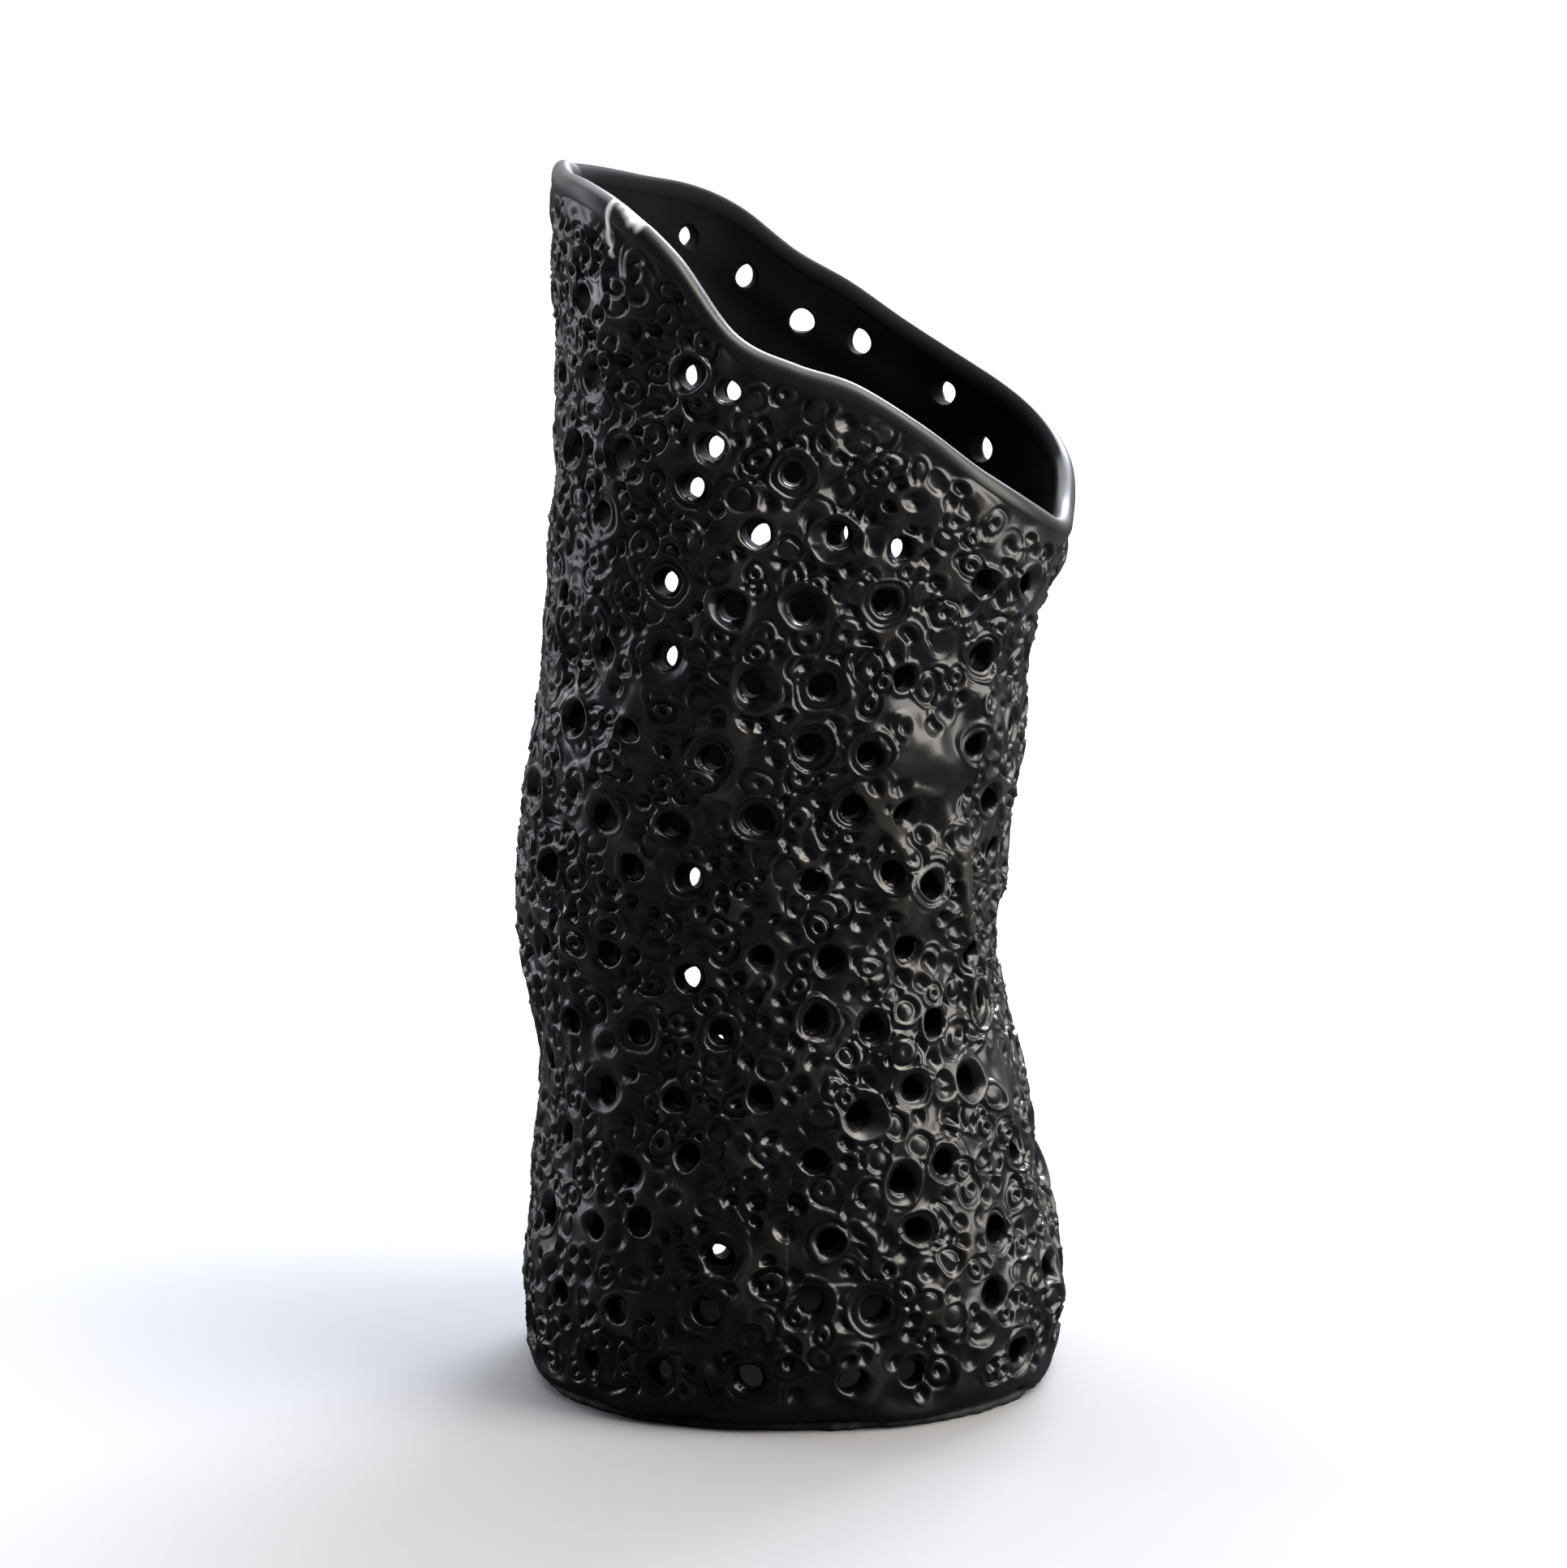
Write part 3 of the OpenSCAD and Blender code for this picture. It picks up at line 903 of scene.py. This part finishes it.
def black_lip_glaze():
    """The same glaze where it was wiped thin on the lip: an even black with a broader, softer
    shine that shows the lip's whole round top."""
    mat, tree, shader = new_material("black_lip_glaze")
    where = add_node(tree, "ShaderNodeTexCoord")
    cloud = add_node(tree, "ShaderNodeTexNoise", {"Scale": pattern_scale(17), "Detail": 3.0},
                     {"Vector": where.outputs["Object"]})
    rough = add_node(tree, "ShaderNodeMapRange", {"To Min": 0.36, "To Max": 0.48},
                     {"Value": cloud.outputs["Fac"]})
    colour = add_node(tree, "ShaderNodeValToRGB", links={"Fac": cloud.outputs["Fac"]}, stops=[
        (0.3, linear("#09090d")), (0.7, linear("#0d0d11"))])
    add_painted_glint(tree, shader, colour.outputs["Color"])
    bare_is_dull(tree, shader, rough.outputs["Result"])
    shader.inputs["IOR"].default_value = 1.5
    return mat


def bare_black_clay():
    """Reduction-fired black clay with no glaze: matt, slightly mottled."""
    mat, tree, shader = new_material("bare_black_clay")
    where = add_node(tree, "ShaderNodeTexCoord")
    cloud = add_node(tree, "ShaderNodeTexNoise", {"Scale": pattern_scale(8), "Detail": 5.0},
                     {"Vector": where.outputs["Object"]})
    colour = add_node(tree, "ShaderNodeValToRGB", links={"Fac": cloud.outputs["Fac"]}, stops=[
        (0.3, linear("#0d0d0e")), (0.7, linear("#1b1a1a"))])
    tree.links.new(colour.outputs["Color"], shader.inputs["Base Color"])
    shader.inputs["Roughness"].default_value = 0.7
    return mat


def matt_pale_paper():
    """Background paper: matt, grey near the vase, and white further away, where it glows with a
    painted light of its own. The glaze mirrors it only dimly, a painted shade that keeps the black
    deep."""
    mat, tree, shader = new_material("matt_pale_paper")
    shader.inputs["Base Color"].default_value = linear("#9b9ca0")
    shader.inputs["Roughness"].default_value = 0.9
    shader.inputs["Specular IOR Level"].default_value = 0.1
    shader.inputs["Emission Color"].default_value = linear("#ffffff")
    where = add_node(tree, "ShaderNodeTexCoord")
    away = add_node(tree, "ShaderNodeVectorMath", {1: (0.02, -0.1, 0.0)},
                    {0: where.outputs["Object"]}, operation="DISTANCE")
    # Painted light: the paper glows more the further it lies from the vase, so it reads white
    # without a lamp
    glow = add_node(tree, "ShaderNodeMapRange",
                    {"From Min": 0.05, "From Max": 0.6, "To Min": 0.0, "To Max": 0.8},
                    {"Value": away.outputs["Value"]}, interpolation_type="SMOOTHSTEP")
    tree.links.new(glow.outputs["Result"], shader.inputs["Emission Strength"])
    # Painted shade: to glossy rays the paper is mostly a black emission, so the glaze mirrors it
    # far darker than it is
    path = add_node(tree, "ShaderNodeLightPath")
    dim = add_node(tree, "ShaderNodeMath", {1: 0.9}, {0: path.outputs["Is Glossy Ray"]},
                   operation="MULTIPLY")
    dark = add_node(tree, "ShaderNodeEmission", {"Strength": 0.0})
    mixed = add_node(tree, "ShaderNodeMixShader", links={
        "Fac": dim.outputs["Value"], 1: shader.outputs["BSDF"], 2: dark.outputs["Emission"]})
    tree.links.new(mixed.outputs["Shader"], tree.nodes["Material Output"].inputs["Surface"])
    return mat


# ---------------------------------------------------------------- studio


def lay_paper(material):
    """The sheet of paper that the vase stands on, wide enough to reach the horizon."""
    mesh = bpy.data.meshes.new("paper_floor")
    half = 40.0  # metres
    mesh.from_pydata([(-half, -half, 0), (half, -half, 0), (half, half, 0), (-half, half, 0)],
                     [], [(0, 1, 2, 3)])
    mesh.materials.append(material)
    floor = bpy.data.objects.new("paper_floor", mesh)
    bpy.context.scene.collection.objects.link(floor)


def softbox(name, place, target, wide, high, power, colour):
    """A rectangular soft light at a place, facing a target. Sizes are in metres."""
    lamp = bpy.data.lights.new(name, "AREA")
    lamp.shape = "RECTANGLE"
    lamp.size, lamp.size_y = wide, high
    lamp.energy = power
    lamp.color = linear(colour)[:3]
    obj = bpy.data.objects.new(name, lamp)
    obj.location = place
    aim = Vector(target) - Vector(place)
    obj.rotation_euler = aim.to_track_quat("-Z", "Y").to_euler()
    bpy.context.scene.collection.objects.link(obj)


def build_studio():
    """A white backdrop behind the vase, a dark room in front of it, five soft boxes and a wide
    soft light from the ceiling."""
    world = bpy.data.worlds.new("studio")
    bpy.context.scene.world = world
    world.use_nodes = True
    tree = world.node_tree
    where = add_node(tree, "ShaderNodeTexCoord")
    axes = add_node(tree, "ShaderNodeSeparateXYZ", links={"Vector": where.outputs["Generated"]})
    backdrop = add_node(tree, "ShaderNodeMapRange",
                        {"From Min": 0.1, "From Max": 0.75, "To Min": 0.03, "To Max": 1.0},
                        {"Value": axes.outputs["Y"]})
    path = add_node(tree, "ShaderNodeLightPath")
    seen = add_node(tree, "ShaderNodeMath", links={0: path.outputs["Is Camera Ray"],
                                                   1: backdrop.outputs["Result"]},
                    operation="MAXIMUM")
    tree.links.new(seen.outputs["Value"], tree.nodes["Background"].inputs["Strength"])
    tree.nodes["Background"].inputs["Color"].default_value = (1, 1, 1, 1)
    middle = (0, 0, 0.15)
    softbox("key_box", (0.75, -0.35, 1.15), middle, 0.75, 0.75, 22, "#fff8ee")
    softbox("top_box", (-0.1, 0.5, 1.5), middle, 1.6, 1.2, 20, "#f8faff")
    softbox("right_box", (1.1, -0.3, 0.35), middle, 0.8, 1.1, 19, "#fffaf2")
    softbox("rim_box", (0.65, 1.4, 1.2), middle, 0.9, 0.7, 46, "#eef2ff")
    softbox("left_strip", (-1.1, 0.35, 0.5), middle, 0.2, 1.2, 5, "#f0f4ff")
    dome = bpy.data.lights.new("ceiling", "SUN")
    dome.energy = 1.2
    dome.angle = math.radians(80)
    obj = bpy.data.objects.new("ceiling", dome)
    obj.rotation_euler = (math.radians(-25), 0, 0)
    bpy.context.scene.collection.objects.link(obj)


def build_camera():
    """A long lens, a little above the vase's middle and looking slightly down."""
    cam = bpy.data.cameras.new("camera")
    cam.sensor_width = 36
    cam.lens = 125.54
    distance, rise = 1.3, math.radians(11.5)
    obj = bpy.data.objects.new("camera", cam)
    aim = Vector((-0.0028, 0, 0.1422))
    obj.location = aim + Vector((0, -math.cos(rise), math.sin(rise))) * distance
    obj.rotation_euler = (math.pi / 2 - rise, 0, 0)
    bpy.context.scene.collection.objects.link(obj)
    bpy.context.scene.camera = obj


# ---------------------------------------------------------------- the vase

glaze = black_satin_glaze()
lip_glaze = black_lip_glaze()
clay = bare_black_clay()
build_wall(glaze)
build_lip(lip_glaze)
build_floor_slab(clay)
build_corner_coil(clay)
seam_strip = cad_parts["wall_seam_coil"]
seam_strip.data.materials.clear()
seam_strip.data.materials.append(clay)
lay_paper(matt_pale_paper())
build_studio()
build_camera()
bpy.context.scene.view_settings.view_transform = "Standard"
